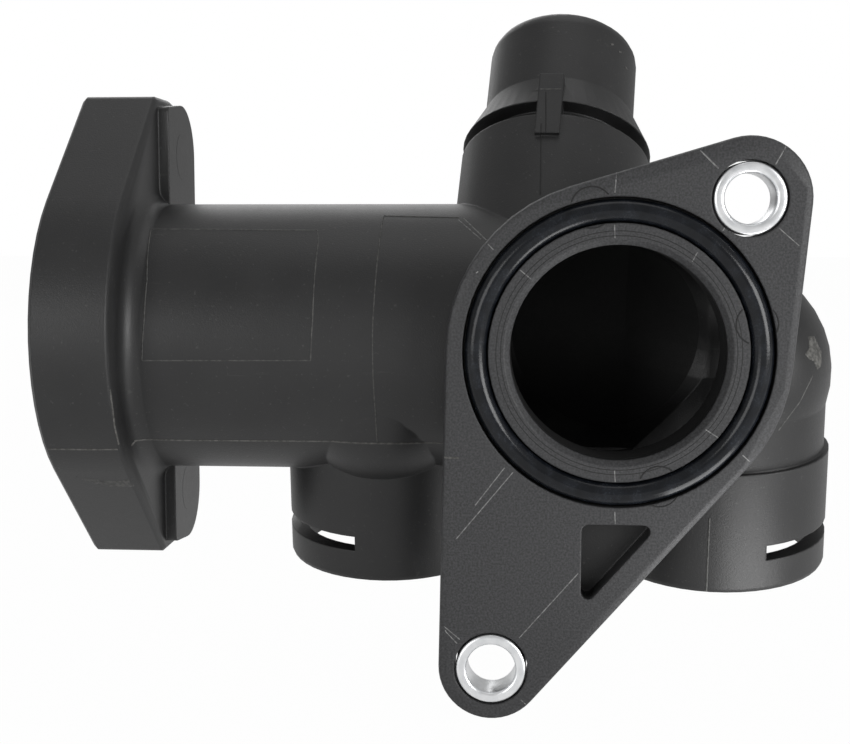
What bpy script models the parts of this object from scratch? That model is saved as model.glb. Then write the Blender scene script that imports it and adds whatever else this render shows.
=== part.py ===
"""Coolant flange of a small car engine, in moulded black plastic.

A two-bolt sealing plate faces -Y. Its opening leads into a wide tube that runs to a second
two-bolt flange at -X, into two female hose sockets that point down and into one male hose stub
that leans back. The plate carries a rubber ring and two steel compression sleeves.

Metres, +Z up. The origin is the centre of the plate's opening, on the plate's sealing face.
"""

import math

import bmesh
import bpy
from mathutils import Matrix, Vector

# Clearances between pieces
RUNNING_GAP = 0.00025
CUT_MARGIN = 0.001

# Sealing plate, its outline in X and Z
PLATE_THICKNESS = 0.0060
PLATE_ROUND_RADIUS = 0.0240
PLATE_EDGE_BEVEL = 0.0008
UPPER_BOLT = (0.0175, 0.0213)
LOWER_BOLT = (-0.0174, -0.0451)
UPPER_LOBE_RADIUS = 0.0085
LOWER_LOBE_RADIUS = 0.0075

# Opening in the plate and the ring groove round it
OPENING_RADIUS = 0.0150
OPENING_CHAMFER = 0.0008
OPENING_DEPTH = 0.0090
GROOVE_RADIUS = 0.0198
SEAL_SECTION_RADIUS = 0.00155
SEAL_PROUD = 0.0008

# Blind pocket in the plate's lower web
POCKET_DEPTH = 0.0045
POCKET_WALL = 0.0037
POCKET_TOP = -0.0240
POCKET_LEFT = -0.0048
POCKET_CORNER = 0.0010

# Steel compression sleeves
SLEEVE_RADIUS = 0.0050
SLEEVE_BORE_RADIUS = 0.0035
SLEEVE_PROUD = 0.0001
SLEEVE_CHAMFER = 0.0005

# Chamber behind the plate
CHAMBER_RADIUS = 0.0180
CHAMBER_WALL = 0.0038

# Wide tube along X
TUBE_RADIUS = 0.0210
TUBE_WALL = 0.0035
TUBE_SETBACK = 0.0280
TUBE_START = 0.0040

# Side flange at the tube's end
SIDE_FACE_X = -0.0840
SIDE_THICKNESS = 0.0120
SIDE_RISE = 0.0011
SIDE_ROUND_RADIUS = 0.0271
SIDE_BOLT_SETBACK = 0.0105
SIDE_BOLT_SPREAD = 0.0279
SIDE_BOLT_RADIUS = 0.0033
SIDE_LOBE_RADIUS = 0.0092
SIDE_CORNER_SETBACK = 0.00255
SIDE_CORNER_RADIUS = 0.0025
SIDE_EDGE_BEVEL = 0.0006
SIDE_PAD_HEIGHT = 0.00175
SIDE_PAD_INSET = 0.0008
SIDE_PAD_START = 0.0020
SIDE_FILLET = 0.0026
SIDE_GROOVE_RADIUS = 0.0210

# Elbow at the tube's other end
ELBOW_CENTRE = (0.0165, 0.0233, -0.0042)
ELBOW_RADIUS = 0.0170
ELBOW_WALL = 0.0034
TAPER_INSET = 0.0003
NECK_INSET = 0.0006

# Female sockets
SOCKET_WALL = 0.0025
SOCKET_THROAT_WALL = 0.0045
SOCKET_MOUTH_DEPTH = 0.0130
SOCKET_LIP_RADIUS = 0.0008
SLOT_ABOVE_RIM = 0.0050
SLOT_HEIGHT = 0.0023
SLOT_HALF_ANGLE = 62.0
RIGHT_RIM = (0.0169, 0.0280, -0.0339)
RIGHT_SOCKET_RADIUS = 0.01715
RIGHT_SOCKET_SHOULDER = 0.0185
RIGHT_SLOT_MIDDLE = 82.0
LEFT_RIM = (-0.0349, 0.0365, -0.0357)
LEFT_SOCKET_RADIUS = 0.0168
LEFT_SOCKET_TILT = 8.0
LEFT_SLOT_MIDDLE = -77.0
BULGE_RADIUS = 0.0145
BULGE_FORWARD = 0.0040
BULGE_DROP = 0.0083

# Male stub, leaning back
STUB_TIP = (-0.00665, 0.0520, 0.0471)
STUB_LEAN = 31.0
STUB_TWIST = 4.0
STUB_TIP_RADIUS = 0.0123
STUB_TIP_ROUND = 0.0033
STUB_RAMP_START = 0.0144
STUB_RAMP_END = 0.0212
STUB_COLLAR_RADIUS = 0.0154
STUB_GROOVE_WIDTH = 0.0025
STUB_GROOVE_RADIUS = 0.0127
STUB_BORE_RADIUS = 0.0090
KEY_WIDTH = 0.0038
KEY_START = 0.0165
KEY_END = 0.0277
KEY_PROUD = 0.0007
KEY_ANGLE = -7.0

# Facets
LARGE_STEPS = 72
TUBE_STEPS = 60
MEDIUM_STEPS = 48
SMALL_STEPS = 32
RING_STEPS = 10
ARC_STEP = math.radians(7.5)
DOME_STEP = math.radians(10.0)
LIP_CUT = 0.3


def clear_scene():
    """Remove what the scene holds."""
    for item in list(bpy.data.objects):
        bpy.data.objects.remove(item, do_unlink=True)


def collection(name):
    """Give the named collection, linked to the scene."""
    group = bpy.data.collections.new(name)
    bpy.context.scene.collection.children.link(group)
    return group


def material(name, colour, roughness, metallic):
    """Give a Principled material."""
    made = bpy.data.materials.new(name)
    made.use_nodes = True
    shader = made.node_tree.nodes["Principled BSDF"]
    shader.inputs["Base Color"].default_value = (*colour, 1.0)
    shader.inputs["Roughness"].default_value = roughness
    shader.inputs["Metallic"].default_value = metallic
    return made


def place(origin, direction, towards=(0.0, -1.0, 0.0)):
    """Give the matrix that stands local +Z along a direction, with local -Y near towards."""
    up = Vector(direction).normalized()
    front = Vector(towards)
    front = (front - up * front.dot(up)).normalized()
    side = (-front).cross(up)
    turned = Matrix((side, -front, up)).transposed().to_4x4()
    return Matrix.Translation(Vector(origin)) @ turned


def add_mesh(name, bm, group, matrix=None):
    """Make an object of a bmesh, with the matrix worked into its mesh."""
    if matrix is not None:
        bmesh.ops.transform(bm, matrix=matrix, verts=bm.verts)
    mesh = bpy.data.meshes.new(name)
    bm.to_mesh(mesh)
    bm.free()
    made = bpy.data.objects.new(name, mesh)
    group.objects.link(made)
    return made


def cylinder(name, group, radius, start, end, steps):
    """Make a closed cylinder between two points."""
    start, end = Vector(start), Vector(end)
    bm = bmesh.new()
    bmesh.ops.create_cone(bm, cap_ends=True, segments=steps, depth=(end - start).length,
                          radius1=radius, radius2=radius)
    return add_mesh(name, bm, group, place((start + end) / 2, end - start, (0.0, -1.0, 0.3)))


def turned(name, group, profile, matrix, steps):
    """Turn a profile of (radius, height) points, listed down its outer side, about local Z."""
    mesh = bpy.data.meshes.new(name)
    bm = bmesh.new()
    points = [bm.verts.new((radius, 0.0, height)) for radius, height in profile]
    for first, second in zip(points, points[1:]):
        bm.edges.new((first, second))
    if profile[0][0] > 0.0:
        bm.edges.new((points[-1], points[0]))
    bm.to_mesh(mesh)
    bm.free()
    made = bpy.data.objects.new(name, mesh)
    group.objects.link(made)
    screw = made.modifiers.new("turn", "SCREW")
    screw.steps = steps
    screw.render_steps = steps
    screw.use_merge_vertices = True
    screw.merge_threshold = 0.00001
    made.matrix_world = matrix
    return made


def arc(centre, radius, start, end, step=ARC_STEP):
    """List the points of an arc from one angle to another, both ends included."""
    count = max(2, math.ceil(abs(end - start) / step))
    angles = [start + (end - start) * index / count for index in range(count + 1)]
    return [(centre[0] + radius * math.cos(a), centre[1] + radius * math.sin(a)) for a in angles]


def on_axis(points):
    """Give the profile points with the first one set exactly on the axis."""
    return [(0.0, points[0][1]), *points[1:]]


def belt(discs, step=ARC_STEP):
    """List the outline of a belt round discs (x, y, radius), which are given anticlockwise."""
    normals = []
    for first, second in zip(discs, discs[1:] + discs[:1]):
        across, along = second[0] - first[0], second[1] - first[1]
        lean = math.acos((first[2] - second[2]) / math.hypot(across, along))
        normals.append(math.atan2(along, across) - lean)
    points = []
    for index, (x, y, radius) in enumerate(discs):
        start, end = normals[index - 1], normals[index]
        while end < start:
            end += 2 * math.pi
        points += arc((x, y), radius, start, end, step)
    return points


def flat(name, group, outline, thickness, matrix, bevel=0.0, bevel_steps=2):
    """Make a slab with the given outline in local X and Y, centred on its own middle plane."""
    curve = bpy.data.curves.new(name, "CURVE")
    curve.dimensions = "2D"
    curve.fill_mode = "BOTH"
    curve.extrude = thickness / 2
    spline = curve.splines.new("POLY")
    spline.points.add(len(outline) - 1)
    for point, (x, y) in zip(spline.points, outline):
        point.co = (x, y, 0.0, 1.0)
    spline.use_cyclic_u = True
    drawn = bpy.data.objects.new(name, curve)
    group.objects.link(drawn)
    bpy.context.view_layer.update()
    seen = drawn.evaluated_get(bpy.context.evaluated_depsgraph_get())
    mesh = bpy.data.meshes.new_from_object(seen)
    bpy.data.objects.remove(drawn, do_unlink=True)
    bm = bmesh.new()
    bm.from_mesh(mesh)
    bmesh.ops.remove_doubles(bm, verts=bm.verts, dist=0.00001)
    bmesh.ops.recalc_face_normals(bm, faces=bm.faces)
    bmesh.ops.dissolve_limit(bm, angle_limit=0.01, verts=bm.verts, edges=bm.edges)
    if bevel > 0.0:
        rims = [edge for edge in bm.edges if edge.calc_face_angle(0.0) > 1.2]
        bmesh.ops.bevel(bm, geom=rims, offset=bevel, offset_type="OFFSET", segments=bevel_steps,
                        profile=0.5, affect="EDGES", clamp_overlap=True, material=-1)
    return add_mesh(name, bm, group, matrix)


def combine(target, group, operation):
    """Join a collection's pieces to the target, or cut them from it."""
    step = target.modifiers.new(operation.lower(), "BOOLEAN")
    step.operation = operation
    step.solver = "EXACT"
    step.operand_type = "COLLECTION"
    step.collection = group
    for piece in group.objects:
        piece.hide_render = True
        piece.display_type = "WIRE"


def finish(made, surface):
    """Give a piece its material and smooth shading with sharp edges kept."""
    made.data.materials.clear()
    made.data.materials.append(surface)
    made.data.shade_smooth()
    made.data.set_sharp_from_angle(angle=math.radians(35.0))


def facing_plate(depth):
    """Give the matrix of a slab whose outline is in X and Z, at a depth behind the face."""
    return Matrix.Translation((0.0, depth, 0.0)) @ Matrix.Rotation(math.radians(90.0), 4, "X")


def facing_side(x):
    """Give the matrix of a slab whose outline is in Y and Z from the side flange's centre."""
    turn = Matrix(((0.0, 0.0, 1.0), (1.0, 0.0, 0.0), (0.0, 1.0, 0.0))).to_4x4()
    return Matrix.Translation((x, TUBE_SETBACK, SIDE_RISE)) @ turn


def down(tilt):
    """Give the direction of a socket that points down and leans back by an angle in degrees."""
    return Vector((0.0, math.sin(math.radians(tilt)), -math.cos(math.radians(tilt))))


def right_socket_direction():
    """Give the right socket's direction, from the elbow's centre to the middle of its rim."""
    return (Vector(RIGHT_RIM) - Vector(ELBOW_CENTRE)).normalized()


def stub_direction():
    """Give the stub's direction, from the chamber out to its tip."""
    lean, twist = math.radians(STUB_LEAN), math.radians(STUB_TWIST)
    return Vector((math.sin(twist), math.sin(lean), math.cos(lean) * math.cos(twist))).normalized()


def groove_half_width():
    """Give half the width of the groove that a seal lies in."""
    return SEAL_SECTION_RADIUS + RUNNING_GAP


def groove_depth():
    """Give the depth of the groove that a seal lies in."""
    return 2 * SEAL_SECTION_RADIUS + RUNNING_GAP - SEAL_PROUD


def plate_outline():
    """List the plate's outline: a belt round its opening and its two bolts."""
    middle = (0.0, 0.0, PLATE_ROUND_RADIUS)
    upper = (*UPPER_BOLT, UPPER_LOBE_RADIUS)
    lower = (*LOWER_BOLT, LOWER_LOBE_RADIUS)
    return belt([upper, middle, lower, middle])


def side_outline():
    """List the side flange's outline: a round middle with an ear above and one below."""
    middle = (0.0, 0.0, SIDE_ROUND_RADIUS)
    ear = (SIDE_BOLT_SETBACK, SIDE_BOLT_SPREAD, SIDE_LOBE_RADIUS)
    crest = SIDE_BOLT_SPREAD + SIDE_LOBE_RADIUS - SIDE_CORNER_RADIUS
    corner = (SIDE_CORNER_SETBACK, crest, SIDE_CORNER_RADIUS)
    mirrored = [(x, -y, radius) for x, y, radius in (corner, ear)]
    return belt([*mirrored, middle, ear, corner, middle])


def side_pad_outline():
    """List the outline of the raised pad on the side flange's back, behind the tube."""
    lobe = SIDE_LOBE_RADIUS - SIDE_PAD_INSET
    small = SIDE_PAD_INSET
    top = SIDE_BOLT_SPREAD + SIDE_LOBE_RADIUS - 2 * SIDE_PAD_INSET - small
    corner = (SIDE_PAD_START + small, top, small)
    ear = (SIDE_BOLT_SETBACK, SIDE_BOLT_SPREAD, lobe)
    mirrored = [(x, -y, radius) for x, y, radius in (corner, ear)]
    return belt([*mirrored, ear, corner])


def pocket_outline():
    """List the pocket's outline, inside the plate's lower web, with round corners."""
    reach = Vector(LOWER_BOLT).length
    lean = math.acos((LOWER_LOBE_RADIUS - PLATE_ROUND_RADIUS) / reach)
    normal = math.atan2(-LOWER_BOLT[1], -LOWER_BOLT[0]) - lean
    offset = PLATE_ROUND_RADIUS - POCKET_WALL - POCKET_CORNER
    left = POCKET_LEFT + POCKET_CORNER
    top = POCKET_TOP - POCKET_CORNER
    bottom = (left, (offset - left * math.cos(normal)) / math.sin(normal), POCKET_CORNER)
    right = ((offset - top * math.sin(normal)) / math.cos(normal), top, POCKET_CORNER)
    return belt([bottom, right, (left, top, POCKET_CORNER)], math.radians(30.0))


def slot_outline(radius, middle):
    """List the outline of a clip slot: a sector of a ring, seen along the socket."""
    half = math.radians(SLOT_HALF_ANGLE)
    centre = math.radians(middle) - math.pi / 2
    inner = radius - 2 * SOCKET_THROAT_WALL
    outer = arc((0.0, 0.0), radius + CUT_MARGIN, centre - half, centre + half)
    return outer + arc((0.0, 0.0), inner, centre + half, centre - half)


def loft(name, group, rings):
    """Make a closed skin over circles (centre, direction, radius) that lie one after another."""
    bm = bmesh.new()
    loops = []
    for centre, direction, radius in rings:
        circle = bmesh.ops.create_circle(
            bm, segments=TUBE_STEPS, radius=radius, matrix=place(centre, direction))
        loops.append({edge for vert in circle["verts"] for edge in vert.link_edges})
    for first, second in zip(loops, loops[1:]):
        bmesh.ops.bridge_loops(bm, edges=list(first | second))
    for ends in (loops[0], loops[-1]):
        bmesh.ops.contextual_create(bm, geom=list(ends))
    bmesh.ops.recalc_face_normals(bm, faces=bm.faces)
    return add_mesh(name, bm, group)


def make_barrel(group):
    """Make the barrel behind the plate's opening."""
    cylinder("barrel", group, CHAMBER_RADIUS + CHAMBER_WALL,
             (0.0, PLATE_THICKNESS / 2, 0.0), (0.0, TUBE_SETBACK, 0.0), LARGE_STEPS)


def make_tube(group):
    """Make the wide tube with its fillet to the side flange and its taper into the elbow."""
    along = (1.0, 0.0, 0.0)
    back = SIDE_FACE_X + SIDE_THICKNESS
    rings = [(SIDE_FACE_X + SIDE_THICKNESS / 2, TUBE_RADIUS + SIDE_FILLET)]
    rings += arc((back + SIDE_FILLET, TUBE_RADIUS + SIDE_FILLET), SIDE_FILLET,
                 math.pi, 1.5 * math.pi, math.radians(22.5))
    rings += [(TUBE_START, TUBE_RADIUS)]
    circles = [((x, TUBE_SETBACK, 0.0), along, radius) for x, radius in rings]
    loft("tube", group, circles + [(ELBOW_CENTRE, along, ELBOW_RADIUS - TAPER_INSET)])


def make_side_flange(group):
    """Make the side flange with the raised pad on its back."""
    flat("side_flange", group, side_outline(), SIDE_THICKNESS,
         facing_side(SIDE_FACE_X + SIDE_THICKNESS / 2), SIDE_EDGE_BEVEL, 1)
    height = SIDE_PAD_HEIGHT + CUT_MARGIN
    middle = SIDE_FACE_X + SIDE_THICKNESS + SIDE_PAD_HEIGHT - height / 2
    flat("side_pad", group, side_pad_outline(), height, facing_side(middle))


def make_elbow(group):
    """Make the elbow's round head, its neck and the right socket, on one axis."""
    rim, lip, radius = Vector(RIGHT_RIM), SOCKET_LIP_RADIUS, RIGHT_SOCKET_RADIUS
    height = (Vector(ELBOW_CENTRE) - rim).length
    neck = ELBOW_RADIUS - NECK_INSET
    turn = -math.acos(neck / ELBOW_RADIUS)
    profile = arc((0.0, height), ELBOW_RADIUS, math.pi / 2, turn, DOME_STEP)
    profile += [(neck, RIGHT_SOCKET_SHOULDER), (radius, RIGHT_SOCKET_SHOULDER), (radius, lip)]
    profile += [(radius - lip * LIP_CUT, lip * LIP_CUT), (radius - lip, 0.0), (0.0, 0.0)]
    turned("elbow", group, on_axis(profile), place(rim, -right_socket_direction()), MEDIUM_STEPS)


def make_left_socket(group):
    """Make the left socket and the soft bulge where it leaves the tube's underside."""
    radius, lip = LEFT_SOCKET_RADIUS, SOCKET_LIP_RADIUS
    axis = down(LEFT_SOCKET_TILT)
    top = LEFT_RIM[2] / axis.z
    profile = [(0.0, top), (radius, top), (radius, lip)]
    profile += [(radius - lip * LIP_CUT, lip * LIP_CUT), (radius - lip, 0.0), (0.0, 0.0)]
    turned("left_socket", group, profile, place(LEFT_RIM, -axis), MEDIUM_STEPS)
    bulge = on_axis(arc((0.0, 0.0), BULGE_RADIUS, math.pi / 2, -math.pi / 2, DOME_STEP))
    bulge[-1] = (0.0, -BULGE_RADIUS)
    centre = (LEFT_RIM[0], TUBE_SETBACK - BULGE_FORWARD, -BULGE_DROP)
    turned("left_bulge", group, bulge, place(centre, (0.0, 0.0, 1.0)), MEDIUM_STEPS)


def make_stub(group):
    """Make the male stub with its ramp, collar, groove and key."""
    axis = stub_direction()
    tip = STUB_TIP_RADIUS
    tip_arc = arc((tip - STUB_TIP_ROUND, -STUB_TIP_ROUND), STUB_TIP_ROUND,
                  math.pi / 2, 0.0, math.radians(18.0))
    groove_end = STUB_RAMP_END + STUB_GROOVE_WIDTH
    root = stub_length()
    profile = [(0.0, 0.0), *tip_arc, (tip, -STUB_RAMP_START)]
    profile += [(STUB_COLLAR_RADIUS, -STUB_RAMP_END), (STUB_GROOVE_RADIUS, -STUB_RAMP_END)]
    profile += [(STUB_GROOVE_RADIUS, -groove_end), (STUB_COLLAR_RADIUS, -groove_end)]
    profile += [(STUB_COLLAR_RADIUS, -root), (0.0, -root)]
    turned("stub", group, profile, place(STUB_TIP, axis), MEDIUM_STEPS)
    key_height = STUB_COLLAR_RADIUS + KEY_PROUD - STUB_GROOVE_RADIUS + CUT_MARGIN
    bm = bmesh.new()
    bmesh.ops.create_cube(bm, size=1.0)
    size = (KEY_WIDTH, key_height, KEY_END - KEY_START)
    bmesh.ops.scale(bm, vec=size, verts=bm.verts)
    shift = (0.0, key_height / 2 - STUB_COLLAR_RADIUS - KEY_PROUD, -(KEY_START + KEY_END) / 2)
    bmesh.ops.translate(bm, vec=shift, verts=bm.verts)
    turn = Matrix.Rotation(math.radians(KEY_ANGLE), 4, "Z")
    add_mesh("stub_key", bm, group, place(STUB_TIP, axis) @ turn)


def stub_length():
    """Give the stub's length from its tip to where its axis passes the tube's middle height."""
    return STUB_TIP[2] / stub_direction().z


def make_passages(group):
    """Make the cutters of the opening, the chamber behind it and the wide tube."""
    profile = [(0.0, CUT_MARGIN), (OPENING_RADIUS + OPENING_CHAMFER + CUT_MARGIN, CUT_MARGIN),
               (OPENING_RADIUS, -OPENING_CHAMFER), (OPENING_RADIUS, -OPENING_DEPTH),
               (CHAMBER_RADIUS, -OPENING_DEPTH), (CHAMBER_RADIUS, -TUBE_SETBACK),
               (0.0, -TUBE_SETBACK)]
    turned("cut_opening", group, profile, place_on_plate(), LARGE_STEPS)
    along = (1.0, 0.0, 0.0)
    bore = TUBE_RADIUS - TUBE_WALL
    loft("cut_tube", group, [
        ((SIDE_FACE_X - CUT_MARGIN, TUBE_SETBACK, 0.0), along, bore),
        ((TUBE_START, TUBE_SETBACK, 0.0), along, bore),
        (ELBOW_CENTRE, along, ELBOW_RADIUS - ELBOW_WALL - TAPER_INSET)])


def make_right_cutters(group):
    """Make the cutters of the elbow and the right socket."""
    rim = Vector(RIGHT_RIM)
    height = (Vector(ELBOW_CENTRE) - rim).length
    bore = ELBOW_RADIUS - ELBOW_WALL
    throat = RIGHT_SOCKET_RADIUS - SOCKET_THROAT_WALL
    turn = -math.acos(throat / bore)
    profile = on_axis(arc((0.0, height), bore, math.pi / 2, turn, DOME_STEP))
    cut_socket(group, "right", profile, rim, right_socket_direction(), RIGHT_SOCKET_RADIUS,
               RIGHT_SLOT_MIDDLE)


def make_left_cutters(group):
    """Make the cutters of the left socket, up to the wide tube's axis height."""
    axis = down(LEFT_SOCKET_TILT)
    top = LEFT_RIM[2] / axis.z
    throat = LEFT_SOCKET_RADIUS - SOCKET_THROAT_WALL
    cut_socket(group, "left", [(0.0, top), (throat, top)], Vector(LEFT_RIM), axis,
               LEFT_SOCKET_RADIUS, LEFT_SLOT_MIDDLE)


def cut_socket(group, side, head, rim, axis, radius, slot_middle):
    """Make the cutters of one socket: its throat and mouth below a head, and its two slots."""
    mouth, throat = radius - SOCKET_WALL, radius - SOCKET_THROAT_WALL
    profile = [*head, (throat, SOCKET_MOUTH_DEPTH), (mouth, SOCKET_MOUTH_DEPTH),
               (mouth, -CUT_MARGIN), (0.0, -CUT_MARGIN)]
    half_step = Matrix.Rotation(math.pi / MEDIUM_STEPS, 4, "Z")
    turned(f"cut_{side}_socket", group, profile, place(rim, -axis) @ half_step, MEDIUM_STEPS)
    level = rim - axis * (SLOT_ABOVE_RIM + SLOT_HEIGHT / 2)
    for number, turn in enumerate((0.0, 180.0)):
        flat(f"cut_{side}_slot_{number + 1}", group, slot_outline(radius, slot_middle + turn),
             SLOT_HEIGHT, place(level, -axis))


def make_stub_cutter(group):
    """Make the cutter of the stub's bore."""
    axis = stub_direction()
    tip = Vector(STUB_TIP)
    cylinder("cut_stub", group, STUB_BORE_RADIUS, tip - axis * stub_length(),
             tip + axis * CUT_MARGIN, MEDIUM_STEPS)


def make_groove(name, group, radius, matrix):
    """Make the cutter of a ring groove; local +Z of the matrix points out of the face."""
    half = groove_half_width()
    profile = [(radius + half, CUT_MARGIN), (radius + half, -groove_depth()),
               (radius - half, -groove_depth()), (radius - half, CUT_MARGIN)]
    turned(name, group, profile, matrix, LARGE_STEPS)


def make_plate_cutters(group):
    """Make the cutters of the plate: groove, sleeve holes and pocket."""
    make_groove("cut_groove", group, GROOVE_RADIUS, place_on_plate())
    for name, (x, z) in (("upper", UPPER_BOLT), ("lower", LOWER_BOLT)):
        cylinder(f"cut_{name}_sleeve", group, SLEEVE_RADIUS + RUNNING_GAP,
                 (x, -CUT_MARGIN, z), (x, PLATE_THICKNESS + CUT_MARGIN, z), SMALL_STEPS)
    depth = POCKET_DEPTH + CUT_MARGIN
    flat("cut_pocket", group, pocket_outline(), depth, facing_plate(depth / 2 - CUT_MARGIN))


def make_side_cutters(group):
    """Make the cutters of the side flange: ring groove and two bolt holes."""
    make_groove("cut_side_groove", group, SIDE_GROOVE_RADIUS, place_on_side())
    depth = SIDE_THICKNESS + SIDE_PAD_HEIGHT + CUT_MARGIN
    for name, sign in (("upper", 1.0), ("lower", -1.0)):
        y = TUBE_SETBACK + SIDE_BOLT_SETBACK
        z = SIDE_RISE + sign * SIDE_BOLT_SPREAD
        cylinder(f"cut_side_{name}_hole", group, SIDE_BOLT_RADIUS,
                 (SIDE_FACE_X - CUT_MARGIN, y, z), (SIDE_FACE_X + depth, y, z), SMALL_STEPS)


def place_on_plate():
    """Give the matrix on the plate's face whose local +Z points out of it."""
    return place((0.0, 0.0, 0.0), (0.0, -1.0, 0.0), (0.0, 0.0, 1.0))


def place_on_side():
    """Give the matrix on the side flange's face whose local +Z points out of it."""
    return place((SIDE_FACE_X, TUBE_SETBACK, 0.0), (-1.0, 0.0, 0.0), (0.0, 0.0, 1.0))


def make_housing(parts, plastic):
    """Make the moulded housing: the plate, with the other bodies joined and the hollows cut."""
    bodies, hollows = collection("bodies"), collection("cutters")
    for make in (make_barrel, make_tube, make_side_flange, make_elbow, make_left_socket,
                 make_stub):
        make(bodies)
    for make in (make_passages, make_right_cutters, make_left_cutters, make_stub_cutter,
                 make_plate_cutters, make_side_cutters):
        make(hollows)
    housing = flat("housing", parts, plate_outline(), PLATE_THICKNESS,
                   facing_plate(PLATE_THICKNESS / 2), PLATE_EDGE_BEVEL)
    combine(housing, bodies, "UNION")
    combine(housing, hollows, "DIFFERENCE")
    finish(housing, plastic)


def make_sleeves(parts, steel):
    """Make the two compression sleeves in the plate's ears."""
    top = SLEEVE_PROUD
    bottom = top - PLATE_THICKNESS - 2 * SLEEVE_PROUD
    outer, inner, chamfer = SLEEVE_RADIUS, SLEEVE_BORE_RADIUS, SLEEVE_CHAMFER
    profile = [(inner + chamfer / 2, top), (outer - chamfer, top), (outer, top - chamfer),
               (outer, bottom + chamfer), (outer - chamfer, bottom), (inner + chamfer / 2, bottom),
               (inner, bottom + chamfer / 2), (inner, top - chamfer / 2)]
    for name, (x, z) in (("upper", UPPER_BOLT), ("lower", LOWER_BOLT)):
        matrix = Matrix.Translation((x, 0.0, z)) @ place_on_plate()
        finish(turned(f"sleeve_{name}", parts, profile, matrix, SMALL_STEPS), steel)


def make_seal(name, parts, radius, matrix, rubber):
    """Make a rubber ring that lies in its groove and stands proud of the face."""
    level = SEAL_PROUD - SEAL_SECTION_RADIUS
    section = arc((radius, level), SEAL_SECTION_RADIUS, math.pi / 2,
                  math.pi / 2 - 2 * math.pi, 2 * math.pi / RING_STEPS)
    finish(turned(name, parts, section[:-1], matrix, LARGE_STEPS), rubber)


def main():
    """Build the coolant flange."""
    clear_scene()
    parts = collection("coolant_flange")
    plastic = material("black_plastic", (0.030, 0.030, 0.032), 0.55, 0.0)
    steel = material("zinc_steel", (0.62, 0.65, 0.66), 0.32, 1.0)
    rubber = material("black_rubber", (0.018, 0.020, 0.024), 0.40, 0.0)
    make_housing(parts, plastic)
    make_sleeves(parts, steel)
    make_seal("main_seal", parts, GROOVE_RADIUS, place_on_plate(), rubber)
    make_seal("side_seal", parts, SIDE_GROOVE_RADIUS, place_on_side(), rubber)


main()
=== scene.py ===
"""Dress the coolant flange: moulded plastic housing, steel sleeves and rubber rings.

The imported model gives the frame, in metres, +Z up, with the centre of the plate's opening at the
origin and the plate facing -Y. The tube runs to the side flange at -X.
"""

import logging
import math
from dataclasses import dataclass, field
from enum import Enum
from typing import Any, Iterable, Optional, Sequence, Union
import bmesh
import bpy
from mathutils import Matrix, Vector
from mathutils.bvhtree import BVHTree


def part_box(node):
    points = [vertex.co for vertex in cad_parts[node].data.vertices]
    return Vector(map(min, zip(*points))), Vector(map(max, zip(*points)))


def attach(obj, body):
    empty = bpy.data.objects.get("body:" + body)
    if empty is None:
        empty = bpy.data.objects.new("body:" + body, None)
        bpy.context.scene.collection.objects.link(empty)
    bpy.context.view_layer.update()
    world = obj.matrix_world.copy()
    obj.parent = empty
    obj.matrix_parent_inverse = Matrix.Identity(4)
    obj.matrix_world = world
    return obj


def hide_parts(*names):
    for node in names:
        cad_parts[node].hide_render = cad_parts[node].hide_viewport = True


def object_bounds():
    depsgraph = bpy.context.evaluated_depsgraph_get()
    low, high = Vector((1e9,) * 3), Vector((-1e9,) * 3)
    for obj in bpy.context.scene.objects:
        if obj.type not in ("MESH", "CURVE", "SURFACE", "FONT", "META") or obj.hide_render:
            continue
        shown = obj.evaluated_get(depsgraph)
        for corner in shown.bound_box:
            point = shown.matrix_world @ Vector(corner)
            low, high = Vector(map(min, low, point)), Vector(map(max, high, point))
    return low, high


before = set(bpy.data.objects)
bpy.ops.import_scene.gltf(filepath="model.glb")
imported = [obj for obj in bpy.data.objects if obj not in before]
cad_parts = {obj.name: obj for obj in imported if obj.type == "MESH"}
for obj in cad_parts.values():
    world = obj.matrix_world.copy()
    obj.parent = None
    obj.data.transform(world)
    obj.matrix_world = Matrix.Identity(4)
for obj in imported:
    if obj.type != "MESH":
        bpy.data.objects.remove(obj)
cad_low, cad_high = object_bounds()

LOG = logging.getLogger("coolant_flange")
MM = 0.001
BODY = "root"
SAME_SPOT = 1e-7

Colour = tuple[float, float, float]
Place = tuple[float, float, float]
Point = tuple[float, float]

WHITE = (1.0, 1.0, 1.0, 1.0)
UP = Vector((0.0, 0.0, 1.0))
FRONT = Vector((0.0, -1.0, 0.0))
LEFT = Vector((-1.0, 0.0, 0.0))
ALONG_X = (1.0, 0.0, 0.0)
ALONG_Y = (0.0, 1.0, 0.0)


class Slot(Enum):
    """The record's material slots."""

    PLASTIC = "housing"
    STEEL = "sleeves"
    RUBBER = "seals"


class Signal:
    """A number that varies over a surface; arithmetic on it adds Math nodes."""

    def __init__(self, graph: "Graph", socket: bpy.types.NodeSocket) -> None:
        """Wrap an output socket of a node tree."""
        self.graph = graph
        self.socket = socket

    def _math(self, operation: str, first: Any, second: Any) -> "Signal":
        """Add a Math node of two operands, each a signal or a number."""
        return self.graph.node("ShaderNodeMath", {"operation": operation}, {0: first, 1: second})

    def __add__(self, other: Any) -> "Signal":
        """Give this signal plus another."""
        return self._math("ADD", self, other)

    __radd__ = __add__

    def __sub__(self, other: Any) -> "Signal":
        """Give this signal less another."""
        return self._math("SUBTRACT", self, other)

    def __rsub__(self, other: Any) -> "Signal":
        """Give a number less this signal."""
        return self._math("SUBTRACT", other, self)

    def __mul__(self, other: Any) -> "Signal":
        """Give this signal times another."""
        return self._math("MULTIPLY", self, other)

    __rmul__ = __mul__

    def below(self, other: Any) -> "Signal":
        """Give 1 where this signal is less than another, and 0 elsewhere."""
        return self._math("LESS_THAN", self, other)

    def largest(self, other: Any) -> "Signal":
        """Give the larger of two signals."""
        return self._math("MAXIMUM", self, other)


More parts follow.
